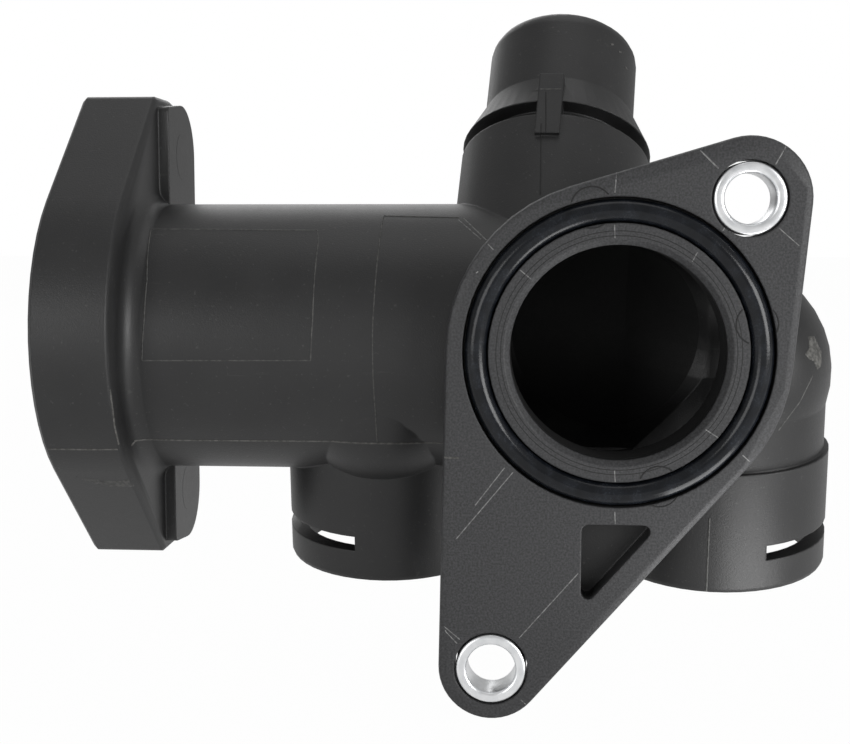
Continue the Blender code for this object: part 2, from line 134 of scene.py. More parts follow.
class Graph:
    """The node tree of a material or a world, which ends in one shader."""

    BEVEL_SAMPLES = 6
    MIX_SHARE, MIX_UNDER, MIX_OVER, MIX_RESULT = 0, 6, 7, 2

    def __init__(self, owner: Union[bpy.types.Material, bpy.types.World], shader: str) -> None:
        """Take a new owner's tree and its shader node of a given name."""
        owner.use_nodes = True
        self.owner = owner
        self.tree = owner.node_tree
        self.shader = self.tree.nodes[shader]

    @classmethod
    def of_material(cls, name: str) -> "Graph":
        """Make a material with one Principled shader."""
        return cls(bpy.data.materials.new(name), "Principled BSDF")

    def node(self, kind: str, settings: Optional[dict[str, Any]] = None,
             values: Optional[dict[Any, Any]] = None, output: Union[int, str] = 0) -> Signal:
        """Add one node.

        Args:
            kind: The node's type.
            settings: Attributes that are set before its sockets; "stops" fills a colour ramp.
            values: Numbers, colours or signals by input name or number.
            output: The output that is given back.

        Returns:
            The chosen output as a signal.
        """
        made = self.tree.nodes.new(kind)
        for key, value in (settings or {}).items():
            if key == "stops":
                self._fill_ramp(made, value)
            else:
                setattr(made, key, value)
        for key, value in (values or {}).items():
            self.link(made.inputs[key], value)
        return Signal(self, made.outputs[output])

    def link(self, socket: bpy.types.NodeSocket, value: Any) -> None:
        """Link a signal to a socket, or set the socket to a constant."""
        if isinstance(value, Signal):
            self.tree.links.new(value.socket, socket)
        else:
            socket.default_value = value

    def finish(self, **values: Any) -> Union[bpy.types.Material, bpy.types.World]:
        """Set the shader's sockets, with underscores for spaces, and give the owner."""
        for key, value in values.items():
            self.link(self.shader.inputs[key.replace("_", " ")], value)
        return self.owner

    def in_sight(self, mirrored: float) -> Signal:
        """Give 1 to the camera, also through clear things, and a share to mirrors."""
        camera, mirror, through = (self.node("ShaderNodeLightPath", output=f"Is {kind} Ray")
                                   for kind in ("Camera", "Glossy", "Transmission"))
        return camera.largest(mirror * mirrored).largest(through)

    def place(self) -> Signal:
        """Give the object coordinates."""
        return self.node("ShaderNodeTexCoord", output="Object")

    def along(self, axis: str) -> Signal:
        """Give the place along the X, Y or Z axis, in metres."""
        return self.node("ShaderNodeSeparateXYZ", {}, {"Vector": self.place()}, axis)

    def reach(self) -> Signal:
        """Give the distance from the opening's axis, in metres."""
        flat = self.node("ShaderNodeVectorMath", {"operation": "MULTIPLY"},
                         {0: self.place(), 1: (1.0, 0.0, 1.0)})
        return self.node("ShaderNodeVectorMath", {"operation": "LENGTH"}, {0: flat}, "Value")

    def noise(self, size: float, detail: float = 2.0,
              stretch: Sequence[float] = (1.0, 1.0, 1.0)) -> Signal:
        """Give fractal noise whose features are about as large as size, in metres."""
        stretched = self.node("ShaderNodeMapping", {},
                              {"Vector": self.place(), "Scale": tuple(stretch)})
        values = {"Vector": stretched, "Scale": 1.0 / size, "Detail": detail}
        return self.node("ShaderNodeTexNoise", {}, values)

    def ramp(self, value: Signal, *stops: tuple[float, float]) -> Signal:
        """Map a signal through (position, grey) stops."""
        greys = [(position, (grey, grey, grey, 1.0)) for position, grey in stops]
        return self.node("ShaderNodeValToRGB", {"stops": greys}, {"Fac": value})

    def tint(self, share: Signal, under: Union[Signal, Colour], over: Colour) -> Signal:
        """Lay a colour over another colour, or over a colour signal."""
        base = under if isinstance(under, Signal) else (*under, 1.0)
        return self.node("ShaderNodeMix", {"data_type": "RGBA"},
                         {self.MIX_SHARE: share, self.MIX_UNDER: base, self.MIX_OVER: (*over, 1.0)},
                         self.MIX_RESULT)

    def rounded(self, radius: float) -> Signal:
        """Give the normal of edges that are rounded by a radius."""
        return self.node("ShaderNodeBevel", {"samples": self.BEVEL_SAMPLES}, {"Radius": radius})

    def bump(self, height: Signal, strength: float, depth: float,
             normal: Optional[Signal] = None) -> Signal:
        """Give a bumped normal from a height signal."""
        values = {"Height": height, "Strength": strength, "Distance": depth}
        if normal is not None:
            values["Normal"] = normal
        return self.node("ShaderNodeBump", {}, values)

    @staticmethod
    def _fill_ramp(made: bpy.types.Node, stops: Iterable[tuple[float, tuple]]) -> None:
        """Give a colour ramp its stops."""
        elements = made.color_ramp.elements
        for index, (position, colour) in enumerate(stops):
            element = elements[index] if index < len(elements) else elements.new(position)
            element.position, element.color = position, colour


@dataclass(frozen=True)
class MouldedPlastic:
    """Glass-filled black plastic with a fine grain, paler on the plate, with painted shade darkening
    the opening's bore.
    """

    name: str = "moulded_plastic"
    dark: Colour = (0.0125, 0.0126, 0.0130)
    light: Colour = (0.0225, 0.0225, 0.0228)
    plate: Colour = (0.067, 0.0675, 0.071)
    # painted shade: near-black colour laid deep in the opening's bore in place of the shade that
    # falls there
    inside: Colour = (0.002, 0.002, 0.0021)
    scuff: Colour = (0.13, 0.13, 0.125)
    plate_depth: float = 1.2 * MM
    plate_end: float = -40.0 * MM
    painted_bore_shade_depth: float = 2.5 * MM
    painted_bore_shade_radius: float = 15.3 * MM
    plate_share: float = 0.9
    painted_bore_shade_share: float = 0.85
    grain_size: float = 0.24 * MM
    grain_depth: float = 0.06 * MM
    speckle_size: float = 0.30 * MM
    dust_size: float = 0.55 * MM
    cloud_size: float = 9.0 * MM
    streak_size: float = 1.1 * MM
    streak_stretch: tuple[float, float, float] = (0.10, 1.0, 1.0)
    edge_radius: float = 0.4 * MM
    roughness: float = 0.30
    refraction: float = 1.52

    def material(self) -> bpy.types.Material:
        """Make the material."""
        graph = Graph.of_material(self.name)
        grain = graph.noise(self.grain_size, 3.0)
        cloud = graph.noise(self.cloud_size, 4.0)
        streaks = graph.noise(self.streak_size, 4.0, self.streak_stretch)
        tone = graph.ramp(cloud, (0.34, 0.0), (0.68, 1.0)) * 0.5 + grain * 0.5
        colour = graph.tint(tone, self.dark, self.light)
        front = graph.along("Y").below(self.plate_depth) * (
            1.0 - graph.along("X").below(self.plate_end))
        speckle = graph.ramp(graph.noise(self.speckle_size, 3.0), (0.36, 0.20), (0.66, 1.0))
        colour = graph.tint(front * speckle * self.plate_share, colour, self.plate)
        scuffs = graph.ramp(streaks, (0.66, 0.0), (0.78, 0.30)) * graph.ramp(
            cloud, (0.52, 0.0), (0.62, 1.0))
        colour = graph.tint(scuffs, colour, self.scuff)
        dust = graph.ramp(graph.noise(self.dust_size), (0.66, 0.0), (0.78, 0.28))
        colour = graph.tint(dust, colour, self.scuff)
        # painted shade: deep in the opening's bore the colour is pulled towards near black; the same
        # mask also makes it rougher
        inside = graph.reach().below(self.painted_bore_shade_radius) * (
            1.0 - graph.along("Y").below(self.painted_bore_shade_depth))
        colour = graph.tint(inside * self.painted_bore_shade_share, colour, self.inside)
        roughness = self.roughness + grain * 0.18 + cloud * 0.08 + front * 0.10 + inside * 0.25
        normal = graph.bump(grain, 0.5, self.grain_depth, graph.rounded(self.edge_radius))
        return graph.finish(Base_Color=colour, Roughness=roughness, Normal=normal,
                            IOR=self.refraction)


@dataclass(frozen=True)
class ZincSteel:
    """Bright zinc-plated steel with fine turning marks."""

    name: str = "zinc_plated_steel"
    dark: Colour = (0.86, 0.875, 0.89)
    light: Colour = (0.96, 0.97, 0.98)
    cloud_size: float = 1.6 * MM
    ring_size: float = 0.25 * MM
    ring_depth: float = 0.03 * MM
    ring_stretch: tuple[float, float, float] = (0.2, 1.0, 0.2)
    edge_radius: float = 0.2 * MM
    roughness: float = 0.24

    def material(self) -> bpy.types.Material:
        """Make the material."""
        graph = Graph.of_material(self.name)
        cloud = graph.noise(self.cloud_size, 3.0)
        rings = graph.noise(self.ring_size, 2.0, self.ring_stretch)
        colour = graph.tint(graph.ramp(cloud, (0.35, 0.0), (0.6, 1.0)), self.dark, self.light)
        normal = graph.bump(rings, 0.25, self.ring_depth, graph.rounded(self.edge_radius))
        return graph.finish(Base_Color=colour, Roughness=self.roughness + cloud * 0.16,
                            Metallic=1.0, Normal=normal)


@dataclass(frozen=True)
class SealRubber:
    """Bluish black rubber with a slight sheen and patches of pale dust."""

    name: str = "seal_rubber"
    dark: Colour = (0.004, 0.005, 0.007)
    light: Colour = (0.010, 0.012, 0.016)
    dust: Colour = (0.032, 0.037, 0.046)
    cloud_size: float = 2.2 * MM
    fine_size: float = 0.28 * MM
    fine_depth: float = 0.04 * MM
    roughness: float = 0.13
    sheen: float = 0.33

    def material(self) -> bpy.types.Material:
        """Make the material."""
        graph = Graph.of_material(self.name)
        cloud = graph.noise(self.cloud_size, 4.0)
        fine = graph.noise(self.fine_size)
        colour = graph.tint(graph.ramp(cloud, (0.38, 0.0), (0.64, 1.0)), self.dark, self.light)
        dusty = graph.ramp(cloud, (0.50, 0.0), (0.64, 1.0)) * graph.ramp(
            fine, (0.54, 0.0), (0.64, 0.6))
        colour = graph.tint(dusty, colour, self.dust)
        return graph.finish(Base_Color=colour, Roughness=self.roughness + fine * 0.12,
                            Specular_IOR_Level=self.sheen,
                            Normal=graph.bump(fine, 0.2, self.fine_depth))


@dataclass(frozen=True)
class MarkedPlastic:
    """Plastic along a mould line, a cut or a scratch: most marks are whitened, some are dark; a pale
    one is a painted highlight, and dark ones on small steps are painted shade.
    """

    name: str
    dark: Colour
    light: Colour
    grain_size: float = 0.6 * MM
    grain_depth: float = 0.05 * MM
    roughness: float = 0.62

    def material(self) -> bpy.types.Material:
        """Make the material."""
        graph = Graph.of_material(self.name)
        grain = graph.noise(self.grain_size, 3.0)
        colour = graph.tint(graph.ramp(grain, (0.36, 0.0), (0.64, 1.0)), self.dark, self.light)
        return graph.finish(Base_Color=colour, Roughness=self.roughness,
                            Normal=graph.bump(grain, 0.3, self.grain_depth))


# The pale seam colour draws real seams and outlines, and also the elbow's pale line, which is a
# painted highlight.
PALE_SEAM_AND_HIGHLIGHT = MarkedPlastic("pale_seam_and_highlight", (0.045, 0.045, 0.044), (0.105, 0.105, 0.100))
PARTING_SEAM = MarkedPlastic("parting_seam", (0.065, 0.064, 0.060), (0.150, 0.148, 0.140))
SCRATCH = MarkedPlastic("scratch", (0.13, 0.13, 0.13), (0.30, 0.30, 0.295))
FLASH = MarkedPlastic("flash", (0.06, 0.059, 0.055), (0.16, 0.157, 0.148))
# The dark step colour draws dark seams, and on the pin marks and the rim's rings it is painted shade
# along small steps.
DARK_SEAM_AND_STEP_SHADE = MarkedPlastic("dark_seam_and_step_shade", (0.004, 0.004, 0.004), (0.012, 0.012, 0.012))


@dataclass(frozen=True)
class StudioFloor:
    """Pale floor that reads nearly white to the camera, with the faintest trace of a shadow."""

    name: str = "studio_floor"
    shade: float = 0.84
    roughness: float = 0.9
    glow: float = 0.985
    mirrored: float = 0.60

    def material(self) -> bpy.types.Material:
        """Make the material."""
        graph = Graph.of_material(self.name)
        graph.finish(Base_Color=(self.shade, self.shade, self.shade, 1.0),
                     Roughness=self.roughness, Specular_IOR_Level=0.0)
        white = graph.node("ShaderNodeEmission", {}, {"Color": WHITE})
        lit = Signal(graph, graph.shader.outputs[0])
        mixed = graph.node("ShaderNodeMixShader", {},
                           {0: graph.in_sight(self.mirrored) * self.glow, 1: lit, 2: white})
        graph.link(graph.tree.nodes["Material Output"].inputs["Surface"], mixed)
        return graph.owner


def show(name: str, bm: bmesh.types.BMesh, surface: bpy.types.Material,
         smooth_angle: float = 35.0) -> bpy.types.Object:
    """Make a finished piece of a bmesh and let it ride on the part.

    Args:
        name: The piece's name.
        bm: Its mesh, in the row frame; it is freed.
        surface: Its material.
        smooth_angle: Edges sharper than this stay sharp, in degrees.

    Returns:
        The piece.
    """
    mesh = bpy.data.meshes.new(name)
    bm.to_mesh(mesh)
    bm.free()
    mesh.shade_smooth()
    mesh.set_sharp_from_angle(angle=math.radians(smooth_angle))
    mesh.materials.append(surface)
    piece = bpy.data.objects.new(name, mesh)
    bpy.context.scene.collection.objects.link(piece)
    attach(piece, BODY)
    LOG.info("%s: %d faces", name, len(mesh.polygons))
    return piece


def packed_copy(node: str) -> bmesh.types.BMesh:
    """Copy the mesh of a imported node."""
    bm = bmesh.new()
    bm.from_mesh(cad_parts[node].data)
    return bm


def facing(direction: Vector) -> Matrix:
    """Give the turn that puts local Z along a direction."""
    return UP.rotation_difference(direction).to_matrix().to_4x4()


def spin_profile(points: Sequence[Point], axis_frame: Matrix, steps: int) -> bmesh.types.BMesh:
    """Spin a closed (radius, height) profile about local Z.

    Args:
        points: The closed profile.
        axis_frame: The matrix that puts local Z along the axis.
        steps: Steps of the full turn.

    Returns:
        The closed ring.
    """
    bm = bmesh.new()
    verts = [bm.verts.new((radius, 0.0, height)) for radius, height in points]
    edges = [bm.edges.new(pair) for pair in zip(verts, verts[1:] + verts[:1])]
    bmesh.ops.spin(bm, geom=verts + edges, cent=(0, 0, 0), axis=(0, 0, 1), angle=2 * math.pi,
                   steps=steps, use_merge=True, use_duplicate=False)
    bmesh.ops.remove_doubles(bm, verts=bm.verts, dist=SAME_SPOT)
    bmesh.ops.recalc_face_normals(bm, faces=bm.faces)
    bmesh.ops.transform(bm, matrix=axis_frame, verts=bm.verts)
    return bm


@dataclass(frozen=True)
class RoundForm:
    """Balls about a centre, or cylinders where there is an axis, that faces lie on, in mm."""

    centre: Place
    radii: tuple[float, ...]
    axis: Optional[Place] = None

    def normal(self, place: Vector, face_normal: Vector, tolerance: float,
               cosine: float) -> Optional[Vector]:
        """Give the form's own normal at a corner of a face, if the face lies on the form.

        Args:
            place: The corner.
            face_normal: The face's normal.
            tolerance: How far from the form the corner may be.
            cosine: The least cosine between the two normals.

        Returns:
            The normal, or nothing.
        """
        away = place - Vector(self.centre) * MM
        if self.axis is not None:
            along = Vector(self.axis).normalized()
            away -= along * away.dot(along)
        if all(abs(away.length - radius * MM) > tolerance for radius in self.radii):
            return None
        away.normalize()
        turn = away.dot(face_normal)
        return None if abs(turn) < cosine else away * math.copysign(1.0, turn)


@dataclass(frozen=True)
class Housing:
    """The moulded housing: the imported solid, merged and shaded by the round forms it is made of."""

    finish: MouldedPlastic = MouldedPlastic()
    smooth_angle: float = 16.0
    merge: float = 0.002 * MM
    tolerance: float = 0.13 * MM
    most_turn: float = 11.0
    most_bend: float = 25.0
    elbow: RoundForm = RoundForm((16.5, 23.3, -4.2), (17.0,))
    bulge: RoundForm = RoundForm((-34.9, 24.0, -8.3), (14.5,))
    tube: RoundForm = RoundForm((0.0, 28.0, 0.0), (21.0, 17.5), ALONG_X)
    side_flange: RoundForm = RoundForm((0.0, 28.0, 1.1), (27.1,), ALONG_X)
    right_socket: RoundForm = RoundForm((16.9, 28.0, -33.9), (17.15, 16.4, 14.65, 12.65),
                                        (-0.4, -4.7, 29.7))
    left_socket: RoundForm = RoundForm((-34.9, 36.5, -35.7), (16.8, 14.3, 12.3),
                                       (0.0, -0.1392, 0.9903))
    stub: RoundForm = RoundForm((-6.65, 52.0, 47.1), (12.3, 15.4, 12.7, 9.0),
                                (0.0698, 0.5150, 0.8551))
    opening: RoundForm = RoundForm((0.0, 0.0, 0.0), (15.0, 18.0, 21.6, 24.0), ALONG_Y)

    def forms(self) -> list[RoundForm]:
        """List the round forms; a corner takes the normal of the first one that it lies on."""
        return [self.elbow, self.bulge, self.tube, self.side_flange, self.right_socket,
                self.left_socket, self.stub, self.opening]

    def build(self) -> bpy.types.Object:
        """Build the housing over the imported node."""
        bm = packed_copy("housing")
        bmesh.ops.remove_doubles(bm, verts=bm.verts, dist=self.merge)
        piece = show("housing_skin", bm, self.finish.material(), self.smooth_angle)
        self._true_normals(piece.data)
        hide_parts("housing")
        return piece

    def _true_normals(self, mesh: bpy.types.Mesh) -> None:
        """Give corners on a round form its normal, and corners bent by thin faces their face's."""
        forms, cosine = self.forms(), math.cos(math.radians(self.most_turn))
        flat = math.cos(math.radians(self.most_bend))
        normals = [Vector(corner.vector) for corner in mesh.corner_normals]
        for face in mesh.polygons:
            for index in face.loop_indices:
                if normals[index].dot(face.normal) < flat:
                    normals[index] = face.normal.copy()
                place = mesh.vertices[mesh.loops[index].vertex_index].co
                for form in forms:
                    found = form.normal(place, face.normal, self.tolerance, cosine)
                    if found is not None:
                        normals[index] = found
                        break
        mesh.normals_split_custom_set(normals)


@dataclass(frozen=True)
class Sleeve:
    """A rolled steel compression sleeve with rounded ends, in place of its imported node."""

    name: str
    wall: float = 1.5 * MM
    rounding: float = 0.45 * MM
    rounding_steps: int = 4
    rim_bend: float = 60.0
    smooth_angle: float = 50.0
    steps: int = 96

    def build(self, surface: bpy.types.Material) -> bpy.types.Object:
        """Build the sleeve.

        Args:
            surface: Its material.

        Returns:
            The sleeve.
        """
        low, high = (Vector(corner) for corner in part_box(self.name))
        middle = (low + high) / 2
        outer, half = (high.x - low.x) / 2, (high.y - low.y) / 2
        bore = outer - self.wall
        points = [(bore, half), (outer, half), (outer, -half), (bore, -half)]
        bm = spin_profile(points, Matrix.Translation(middle) @ facing(FRONT), self.steps)
        bend = math.radians(self.rim_bend)
        rims = [edge for edge in bm.edges if edge.calc_face_angle(0.0) > bend]
        bmesh.ops.bevel(bm, geom=rims, offset=self.rounding, offset_type="OFFSET",
                        segments=self.rounding_steps, profile=0.5, affect="EDGES",
                        clamp_overlap=True, material=-1)
        piece = show(f"{self.name}_turned", bm, surface, self.smooth_angle)
        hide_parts(self.name)
        return piece


@dataclass(frozen=True)
class SealRing:
    """A rubber ring in its groove, with a fine mould line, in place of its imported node."""

    name: str
    outward: Vector
    mould_line: float = 0.05 * MM
    smooth_angle: float = 60.0
    steps: int = 180
    section_steps: int = 30

    def build(self, surface: bpy.types.Material) -> bpy.types.Object:
        """Build the ring.

        Args:
            surface: Its material.

        Returns:
            The ring.
        """
        low, high = (Vector(corner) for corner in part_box(self.name))
        middle = (low + high) / 2
        sides = sorted(high - low)
        section = sides[0] / 2
        radius = sides[2] / 2 - section
        points = []
        for index in range(self.section_steps):
            angle = 2 * math.pi * index / self.section_steps
            reach = section + (self.mould_line if index == self.section_steps // 2 else 0.0)
            points.append((radius + reach * math.cos(angle), reach * math.sin(angle)))
        bm = spin_profile(points, Matrix.Translation(middle) @ facing(self.outward), self.steps)
        piece = show(f"{self.name}_ring", bm, surface, self.smooth_angle)
        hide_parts(self.name)
        return piece


@dataclass(frozen=True)
class BlindEnd:
    """The moulding's skin over the back end of one of the side flange's screw holes."""

    name: str
    rise: float
    setback: float = 38.5 * MM
    radius: float = 3.8 * MM
    back: float = -70.23 * MM
    thickness: float = 1.8 * MM
    steps: int = 64

    def build(self, surface: bpy.types.Material) -> bpy.types.Object:
        """Build the blind end.

        Args:
            surface: Its material.

        Returns:
            The blind end.
        """
        bm = bmesh.new()
        middle = Vector((self.back - self.thickness / 2, self.setback, self.rise))
        bmesh.ops.create_cone(bm, cap_ends=True, segments=self.steps, radius1=self.radius,
                              radius2=self.radius, depth=self.thickness,
                              matrix=Matrix.Translation(middle) @ facing(-LEFT))
        return show(self.name, bm, surface)


@dataclass
class Skin:
    """The housing's front, on which marks are laid by their place in the front view."""

    step: float = 0.35 * MM
    jump: float = 0.9 * MM
    ray_start: float = -100.0 * MM
    tree: BVHTree = field(init=False)

    def __post_init__(self) -> None:
        """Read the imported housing."""
        bm = packed_copy("housing")
        self.tree = BVHTree.FromBMesh(bm)
        bm.free()

    def hit(self, x: float, z: float) -> Optional[tuple[Vector, Vector]]:
        """Give the nearest front point and its normal at x and z, in metres, if there is one."""
        place, normal, _, _ = self.tree.ray_cast(Vector((x, self.ray_start, z)), -FRONT)
        return None if place is None else (place, normal)

    def runs(self, points: Sequence[Point], lift: float, deepest: float) -> list[list[Vector]]:
        """Follow a line over the front.

        Args:
            points: The line's corners as (x, z) in mm.
            lift: How far the line's middle stands above the surface.
            deepest: The line leaves out what lies further back than this.

        Returns:
            The line's points on the surface, a new run wherever the surface steps.
        """
        runs: list[list[Vector]] = [[]]
        last_depth: Optional[float] = None
        for start, end in zip(points, points[1:]):
            first, last = Vector(start) * MM, Vector(end) * MM
            count = max(1, round((last - first).length / self.step))
            for index in range(count + 1):
                spot = first.lerp(last, index / count)
                found = self.hit(spot.x, spot.y)
                if found is None or found[0].y > deepest:
                    last_depth = None
                    continue
                place, normal = found
                if last_depth is None or abs(place.y - last_depth) > self.jump:
                    runs.append([])
                last_depth = place.y
                runs[-1].append(place + normal * lift)
        return [run for run in runs if len(run) > 1]


@dataclass(frozen=True)
class MouldLine:
    """Fine raised lines that the mould has left, or scratches' raised burrs; some carry a painted
    highlight and some painted shade.
    """

    name: str
    lines: Sequence[Sequence[Point]]
    width: float = 0.26 * MM
    height: float = 0.05 * MM
    deepest: float = 60.0 * MM
    roundness: int = 2
    smooth_angle: float = 50.0

    def build(self, skin: Skin, surface: bpy.types.Material) -> bpy.types.Object:
        """Build the lines as one piece.

        Args:
            skin: The surface that they lie on.
            surface: Their material.

        Returns:
            The piece.
        """
        radius = (self.width ** 2 / 4 + self.height ** 2) / (2 * self.height)
        radius = min(radius, self.width)
        curve = bpy.data.curves.new(self.name, "CURVE")
        curve.dimensions, curve.fill_mode, curve.use_fill_caps = "3D", "FULL", True
        curve.bevel_depth, curve.bevel_resolution = radius, self.roundness
        for points in self.lines:
            for run in skin.runs(points, self.height - radius, self.deepest):
                spline = curve.splines.new("POLY")
                spline.points.add(len(run) - 1)
                for point, place in zip(spline.points, run):
                    point.co = (*place, 1.0)
        holder = bpy.data.objects.new(self.name, curve)
        mesh = bpy.data.meshes.new_from_object(holder)
        bm = bmesh.new()
        bm.from_mesh(mesh)
        bmesh.ops.remove_doubles(bm, verts=bm.verts, dist=SAME_SPOT)
        bpy.data.objects.remove(holder)
        bpy.data.curves.remove(curve)
        return show(self.name, bm, surface, self.smooth_angle)


@dataclass(frozen=True)
class Vestige:
    """A low rough patch that a gate, flash or a cutter has left on the moulding."""

    name: str
    outline: Sequence[Point]
    height: float = 0.12 * MM
    rough: float = 0.05 * MM
    cell: float = 0.22 * MM
    fewest_cells: int = 4
    behind: float = 30.0 * MM
    wave_numbers: tuple[float, float] = (7100.0, 5300.0)
    smooth_angle: float = 60.0

    def build(self, skin: Skin, surface: bpy.types.Material) -> bpy.types.Object:
        """Build the patch.

        Args:
            skin: The surface that it lies on.
            surface: Its material.

        Returns:
            The patch.
        """
        corners = [Vector(corner) * MM for corner in self.outline]
        low = Vector((min(c.x for c in corners), min(c.y for c in corners)))
        high = Vector((max(c.x for c in corners), max(c.y for c in corners)))
        size, middle = max(high - low), (low + high) / 2
        cells = max(self.fewest_cells, round(size / self.cell))
        bm = bmesh.new()
        bmesh.ops.create_grid(bm, x_segments=cells, y_segments=cells, size=size / 2)
        bmesh.ops.translate(bm, vec=(*middle, 0.0), verts=bm.verts)
        outside = [face for face in bm.faces if not self._holds(face.calc_center_median(), corners)]
        bmesh.ops.delete(bm, geom=outside, context="FACES")
        bmesh.ops.smooth_vert(bm, verts=[v for v in bm.verts if v.is_boundary], factor=0.5,
                              use_axis_x=True, use_axis_y=True, use_axis_z=True)
        across, up = self.wave_numbers
        for vert in bm.verts:
            found = skin.hit(vert.co.x, vert.co.y)
            spot, normal = found or (Vector((vert.co.x, self.behind, vert.co.y)), FRONT)
            wave = math.sin(vert.co.x * across) * math.sin(vert.co.y * up)
            rise = -self.rough if vert.is_boundary else self.height + self.rough * wave
            vert.co = spot + normal * rise
        bmesh.ops.recalc_face_normals(bm, faces=bm.faces)
        if sum(face.normal.y * face.calc_area() for face in bm.faces) > 0.0:
            bmesh.ops.reverse_faces(bm, faces=bm.faces)
        bmesh.ops.solidify(bm, geom=bm.faces, thickness=self.height + self.rough)
        return show(self.name, bm, surface, self.smooth_angle)

    @staticmethod
    def _holds(spot: Vector, corners: Sequence[Vector]) -> bool:
        """Tell whether a spot lies inside the outline."""
        inside = False
        for one, two in zip(corners, [*corners[1:], corners[0]]):
            if (one.y > spot.y) != (two.y > spot.y):
                if spot.x < one.x + (spot.y - one.y) / (two.y - one.y) * (two.x - one.x):
                    inside = not inside
        return inside


def ring_of(x: float, z: float, radius: float, steps: int = 48) -> list[Point]:
    """List a circle's points as (x, z) in mm."""
    return [(x + radius * math.cos(2 * math.pi * index / steps),
             z + radius * math.sin(2 * math.pi * index / steps)) for index in range(steps + 1)]


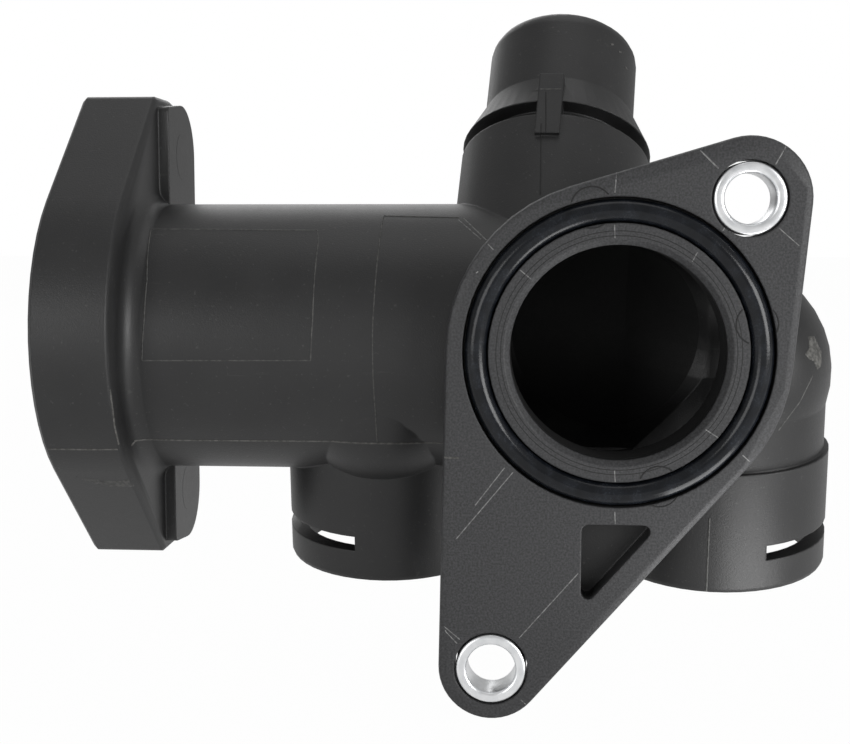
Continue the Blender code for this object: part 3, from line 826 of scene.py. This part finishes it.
@dataclass(frozen=True)
class MouldMarks:
    """Marks that the mould and its handling have left on the housing, with painted highlight and
    painted shade among them.

    Outlines and radii are in mm of the front view, and depths are in metres.
    """

    # The pin marks are raised rings in a near-black colour, which paints the shade along each pin's
    # step.
    pin_radius: float = 2.85
    pins: tuple[Point, ...] = ((-3.9, 20.1), (18.8, 4.2), (5.9, -18.5))
    # The rim's rings are near-black lines, painted shade beside a low ridge on the sealing face.
    rim_shade_lines: tuple[float, ...] = (16.25, 16.9)
    rim_steps: int = 120
    face_depth: float = 0.4 * MM
    plate_depth: float = 2.0 * MM
    label: tuple[Point, ...] = (
        (-69.6, 17.1), (-44.1, 16.9), (-43.7, 15.2), (-43.7, 4.4), (-44.0, -1.9), (-69.0, -2.1),
        (-68.6, 3.9), (-68.6, 9.6), (-69.6, 17.1))
    insert: tuple[Point, ...] = (
        (-23.0, 18.8), (-34.5, 19.1), (-34.6, 13.2), (-34.9, 3.2), (-34.9, -4.1), (-34.7, -14.5))
    parting: tuple[tuple[Point, ...], ...] = (
        ((-71.6, -14.7), (-64.7, -14.8), (-46.3, -14.7), (-34.5, -14.6), (-22.0, -14.8)),
        ((-83.2, -15.3), (-76.5, -15.3), (-72.7, -15.2)))
    edge_flash: tuple[tuple[Point, ...], ...] = (
        ((-72.3, -5.8), (-72.3, -8.8), (-72.4, -11.3), (-72.4, -14.4)),
        ((-71.9, -15.4), (-71.5, -14.7)))
    flash: tuple[Point, ...] = (
        (-81.0, -20.3), (-77.5, -20.8), (-74.5, -21.0), (-72.5, -20.4), (-72.3, -22.1),
        (-75.0, -22.4), (-78.5, -21.7))
    gate: tuple[Point, ...] = (
        (27.9, 1.7), (29.3, 1.6), (30.5, -0.8), (30.3, -2.9), (29.5, -3.3), (28.9, -2.1),
        (27.9, -1.6), (27.1, -0.8), (28.0, 0.0))
    scratches: tuple[tuple[Point, Point], ...] = (
        ((-0.6, 24.8), (-0.8, 22.1)), ((-0.8, 18.1), (-0.7, 15.9)), ((-0.3, -16.3), (-0.2, -17.9)),
        ((-0.2, -22.1), (-0.1, -24.2)), ((9.9, 28.4), (13.1, 25.3)), ((22.0, 28.2), (20.5, 25.5)),
        ((21.1, 17.5), (24.1, 14.9)), ((14.3, 17.6), (13.6, 16.6)), ((10.5, 14.0), (9.8, 12.7)),
        ((-24.1, -39.0), (-21.8, -40.9)), ((-24.0, -39.6), (-22.2, -41.5)),
        ((-13.1, -49.5), (-12.3, -50.3)), ((-13.4, -40.5), (-5.2, -31.0)),
        ((-22.3, -26.3), (-14.4, -16.7)), ((-15.6, -16.1), (-19.7, -21.5)),
        ((-13.6, 11.5), (-12.0, 10.2)), ((12.1, -10.4), (13.8, -11.5)),
        ((17.2, -13.9), (18.2, -14.8)), ((-18.3, 15.3), (-17.3, 14.3)),
        ((-19.7, 11.1), (-19.4, 11.3)))
    neck_scratches: tuple[tuple[Point, Point], ...] = (
        ((-23.1, 18.5), (-19.5, 15.6)), ((-22.3, 18.7), (-18.7, 15.5)))
    key_cap: tuple[Point, ...] = ((-12.3, 38.8), (-7.3, 38.7))
    key_seam: tuple[Point, ...] = ((-10.0, 38.3), (-10.0, 31.6))
    stub_specks: tuple[tuple[Point, Point], ...] = (
        ((0.6, 47.0), (1.0, 47.1)), ((2.0, 46.0), (2.4, 45.9)), ((3.1, 43.5), (3.4, 43.2)))
    # painted highlight: a pale line where the elbow's fillet catches the light
    elbow_painted_highlight: tuple[Point, ...] = ((28.7, -4.0), (26.8, -7.6), (23.7, -11.8))
    stub_seam: tuple[Point, ...] = ((-10.7, 33.2), (-10.8, 22.2))
    socket_seam: tuple[Point, ...] = ((14.1, -24.8), (14.1, -30.3), (14.1, -36.5))

    def build(self, skin: Skin) -> None:
        """Build every mark."""
        seam_and_highlight, joint, scratch, flash, dark = (
            finish.material() for finish in (PALE_SEAM_AND_HIGHLIGHT, PARTING_SEAM, SCRATCH, FLASH, DARK_SEAM_AND_STEP_SHADE))
        pins = [ring_of(x, z, self.pin_radius) for x, z in self.pins]
        rims = [ring_of(0.0, 0.0, radius, self.rim_steps) for radius in self.rim_shade_lines]
        for surface, line in (
            (seam_and_highlight, MouldLine("label_outline", (self.label,), width=0.22 * MM, height=0.08 * MM)),
            (seam_and_highlight, MouldLine("insert_outline", (self.insert,), width=0.22 * MM, height=0.08 * MM)),
            (joint, MouldLine("parting_line", self.parting, width=0.32 * MM, height=0.11 * MM)),
            (flash, MouldLine("edge_flash", self.edge_flash, width=0.30 * MM, height=0.08 * MM)),
            # The pin marks and the rim's rings are painted shade; the stub and key seams further down
            # are dark seams.
            (dark, MouldLine("pin_marks", pins, width=0.24 * MM, height=0.08 * MM,
                             deepest=self.face_depth)),
            (dark, MouldLine("rim_shade_lines", rims, width=0.12 * MM, height=0.03 * MM,
                             deepest=self.face_depth)),
            (scratch, MouldLine("scratches", self.scratches, width=0.24 * MM, height=0.03 * MM,
                                deepest=self.plate_depth)),
            (scratch, MouldLine("neck_scratches", self.neck_scratches)),
            (dark, MouldLine("stub_seam", (self.stub_seam, self.key_seam), height=0.07 * MM)),
            (seam_and_highlight, MouldLine("key_ridge", (self.key_cap,), width=0.24 * MM, height=0.08 * MM)),
            (flash, MouldLine("stub_specks", self.stub_specks, width=0.40 * MM, height=0.08 * MM)),
            # painted highlight: the elbow's pale line stands in for the light on its fillet
            (seam_and_highlight, MouldLine("elbow_painted_highlight", (self.elbow_painted_highlight,))),
            (seam_and_highlight, MouldLine("socket_seam", (self.socket_seam,), width=0.30 * MM,
                             height=0.10 * MM)),
        ):
            line.build(skin, surface)
        Vestige("gate_vestige", self.gate).build(skin, flash)
        Vestige("rim_flash", self.flash, height=0.05 * MM, rough=0.03 * MM).build(skin, seam_and_highlight)


@dataclass(frozen=True)
class Softbox:
    """A square area light, in metres and watts, that looks at a target or else at the part."""

    name: str
    place: Place
    size: float
    power: float
    target: Optional[Place] = None

    def build(self) -> None:
        """Build the light, out of the camera's sight."""
        data = bpy.data.lights.new(self.name, "AREA")
        data.shape, data.size, data.energy = "SQUARE", self.size, self.power
        light = bpy.data.objects.new(self.name, data)
        bpy.context.scene.collection.objects.link(light)
        light.location, light.visible_camera = self.place, False
        target = Vector(self.target) if self.target else (cad_low + cad_high) / 2
        light.rotation_mode = "QUATERNION"
        light.rotation_quaternion = (target - Vector(self.place)).to_track_quat("-Z", "Y")


@dataclass(frozen=True)
class Studio:
    """The photograph's camera, a pale floor and plain soft lights."""

    eye: Place = (-12.230 * MM, -193.770 * MM, 17.650 * MM)
    azimuth: float = 4.29
    elevation: float = 5.98
    lens: float = 59.29
    sensor: float = 36.0
    nearest: float = 0.01
    farthest: float = 20.0
    floor_size: float = 6.0
    floor_gap: float = 0.2 * MM
    ambient: float = 0.10
    reflected: float = 0.35
    lights: tuple[Softbox, ...] = (
        Softbox("right_light", (0.62, -0.50, 0.06), 0.45, 4.8),
        Softbox("left_light", (-0.50, -0.64, 0.14), 0.38, 1.35),
        Softbox("top_light", (0.05, 0.05, 0.85), 0.6, 0.9),
        Softbox("back_light", (-0.25, 0.80, 0.45), 0.6, 1.6),
        Softbox("low_card", (0.039, -0.018, -0.0520), 0.04, 0.025, (0.039, -0.018, 0.0)),
    )

    def build(self) -> None:
        """Build the studio."""
        self._camera()
        self._world()
        self._floor()
        for light in self.lights:
            light.build()

    def _camera(self) -> None:
        """Make the camera."""
        data = bpy.data.cameras.new("camera")
        data.lens, data.sensor_width = self.lens, self.sensor
        data.clip_start, data.clip_end = self.nearest, self.farthest
        data.dof.use_dof = False
        camera = bpy.data.objects.new("camera", data)
        bpy.context.scene.collection.objects.link(camera)
        azimuth, elevation = math.radians(self.azimuth), math.radians(self.elevation)
        back = Vector((math.sin(azimuth) * math.cos(elevation),
                       -math.cos(azimuth) * math.cos(elevation), math.sin(elevation)))
        right = Vector((math.cos(azimuth), math.sin(azimuth), 0.0))
        turn = Matrix((right, back.cross(right), back)).transposed().to_4x4()
        camera.matrix_world = Matrix.Translation(self.eye) @ turn
        bpy.context.scene.camera = camera

    def _world(self) -> None:
        """Make a plain world that the camera sees as white."""
        graph = Graph(bpy.data.worlds.new("studio_world"), "Background")
        strength = self.ambient + graph.in_sight(self.reflected) * (1.0 - self.ambient)
        bpy.context.scene.world = graph.finish(Color=WHITE, Strength=strength)
        bpy.context.scene.view_settings.view_transform = "Standard"

    def _floor(self) -> None:
        """Make the floor just under the part."""
        bm = bmesh.new()
        bmesh.ops.create_grid(bm, x_segments=1, y_segments=1, size=self.floor_size / 2)
        bmesh.ops.translate(bm, vec=(0.0, 0.0, cad_low.z - self.floor_gap), verts=bm.verts)
        mesh = bpy.data.meshes.new("floor")
        bm.to_mesh(mesh)
        bm.free()
        mesh.materials.append(StudioFloor().material())
        floor = bpy.data.objects.new("floor", mesh)
        bpy.context.scene.collection.objects.link(floor)


def main() -> None:
    """Build every sub-assembly in order."""
    logging.basicConfig(level=logging.INFO, format="%(message)s")
    Studio().build()
    steel = ZincSteel().material()
    rubber = SealRubber().material()
    Housing().build()
    for name in ("sleeve_upper", "sleeve_lower"):
        Sleeve(name).build(steel)
    SealRing("main_seal", FRONT).build(rubber)
    SealRing("side_seal", LEFT).build(rubber)
    sharp_plastic = MouldedPlastic("blind_end_plastic", edge_radius=0.01 * MM).material()
    BlindEnd("blind_end_upper", rise=29.0 * MM).build(sharp_plastic)
    BlindEnd("blind_end_lower", rise=-26.8 * MM).build(sharp_plastic)
    MouldMarks().build(Skin())


if __name__ == "__main__":
    main()
